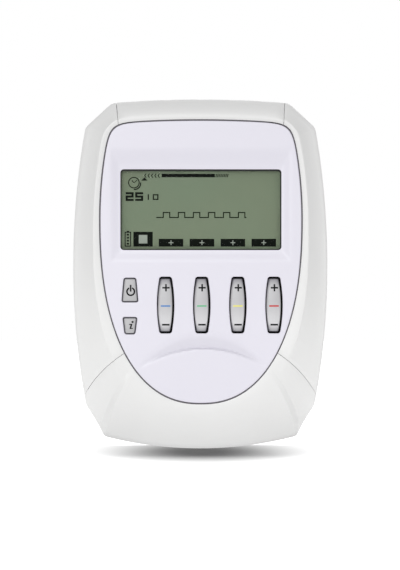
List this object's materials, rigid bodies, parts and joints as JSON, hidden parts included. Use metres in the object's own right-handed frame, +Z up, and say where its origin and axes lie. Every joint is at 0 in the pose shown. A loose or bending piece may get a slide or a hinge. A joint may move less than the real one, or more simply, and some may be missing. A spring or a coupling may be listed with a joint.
{
  "type": "handheld nerve and muscle stimulator",
  "caption": "Handheld battery muscle stimulator: rounded two-part case with display, press keys and rocker keys on the front, lead sockets on top and a hinged battery door at the back.",
  "frame": {"origin": "centre of the base of the bounding box, with the unit standing on its rounded base", "axes": "+X to the right as seen by the user, -Y out of the front face, +Y out of the back, +Z up towards the lead sockets"},
  "size_m": [0.102, 0.036, 0.14],
  "materials": {
    "white_shell": "satin injection-moulded ABS, fine even sheen",
    "faceplate": "satin moulded ABS with a faint lavender cast",
    "gasket": "matt black elastomer",
    "chassis": "dark grey moulded ABS",
    "window": "clear hard-coated acrylic",
    "lcd": "grey-green reflective liquid crystal panel",
    "backlight": "white light guide",
    "connector_rubber": "pink layered contact rubber",
    "board": "green solder mask",
    "switch_metal": "plated switch cans",
    "steel": "drawn steel, zinc plated",
    "key_silver": "silver-grey satin painted ABS",
    "socket_black": "black nylon",
    "collar_blue": "blue moulded ABS",
    "collar_green": "green moulded ABS",
    "collar_yellow": "yellow moulded ABS",
    "collar_red": "red moulded ABS",
    "contact_brass": "gold-plated brass",
    "nickel": "bright nickel plate",
    "transformer": "ferrite core and lacquered winding",
    "chip": "black moulded package",
    "component": "mixed moulded packages and cans",
    "cell": "printed cell sleeve",
    "foot_rubber": "matt grey rubber"
  },
  "bodies": {
    "case": {"faceplate": "faceplate", "faceplate_gasket": "gasket", "top_cap": "white_shell", "left_side_band": "white_shell", "right_side_band": "white_shell", "bottom_cap": "white_shell", "front_chassis": "chassis", "rear_housing": "white_shell", "display_window": "window", "lcd_panel": "lcd", "lcd_bezel": "chassis", "lcd_backlight": "backlight", "lcd_connector": "connector_rubber", "main_board": "board", "key_switches": "switch_metal", "rocker_shaft": "steel", "output_socket_1": "socket_black", "output_socket_2": "socket_black", "output_socket_3": "socket_black", "output_socket_4": "socket_black", "socket_collar_1": "collar_blue", "socket_collar_2": "collar_green", "socket_collar_3": "collar_yellow", "socket_collar_4": "collar_red", "socket_contacts": "contact_brass", "charger_socket": "socket_black", "charger_collar": "nickel", "output_transformers": "transformer", "processor_chip": "chip", "board_components": "component", "buzzer": "chip", "battery_cells": "cell", "battery_springs": "nickel", "battery_plates": "nickel", "housing_screws": "steel", "board_screws": "steel", "rubber_feet": "foot_rubber"},
    "power_key": {"power_key": "key_silver"},
    "info_key": {"info_key": "key_silver"},
    "channel_key_1": {"channel_key_1": "key_silver"},
    "channel_key_2": {"channel_key_2": "key_silver"},
    "channel_key_3": {"channel_key_3": "key_silver"},
    "channel_key_4": {"channel_key_4": "key_silver"},
    "battery_door": {"battery_door": "white_shell"}
  },
  "joints": [
    {"name": "power_key_press", "type": "slide", "parent": "case", "child": "power_key", "axis": [0, 1, 0], "range_m": [0, 0.0006], "stiffness_N_per_m": 1500, "springref_m": -0.0002},
    {"name": "info_key_press", "type": "slide", "parent": "case", "child": "info_key", "axis": [0, 1, 0], "range_m": [0, 0.0006], "stiffness_N_per_m": 1500, "springref_m": -0.0002},
    {"name": "channel_key_1_rock", "type": "hinge", "parent": "case", "child": "channel_key_1", "pos_m": [-0.0141, -0.0124, 0.0577], "axis": [1, 0, 0], "range_deg": [-3.5, 3.5], "stiffness_Nm_per_rad": 0.3},
    {"name": "channel_key_2_rock", "type": "hinge", "parent": "case", "child": "channel_key_2", "pos_m": [0.0003, -0.0124, 0.0577], "axis": [1, 0, 0], "range_deg": [-3.5, 3.5], "stiffness_Nm_per_rad": 0.3},
    {"name": "channel_key_3_rock", "type": "hinge", "parent": "case", "child": "channel_key_3", "pos_m": [0.0147, -0.0124, 0.0577], "axis": [1, 0, 0], "range_deg": [-3.5, 3.5], "stiffness_Nm_per_rad": 0.3},
    {"name": "channel_key_4_rock", "type": "hinge", "parent": "case", "child": "channel_key_4", "pos_m": [0.0291, -0.0124, 0.0577], "axis": [1, 0, 0], "range_deg": [-3.5, 3.5], "stiffness_Nm_per_rad": 0.3},
    {"name": "battery_door_hinge", "type": "hinge", "parent": "case", "child": "battery_door", "pos_m": [0, 0.0159, 0.0852], "axis": [1, 0, 0], "range_deg": [0, 90]}
  ]
}
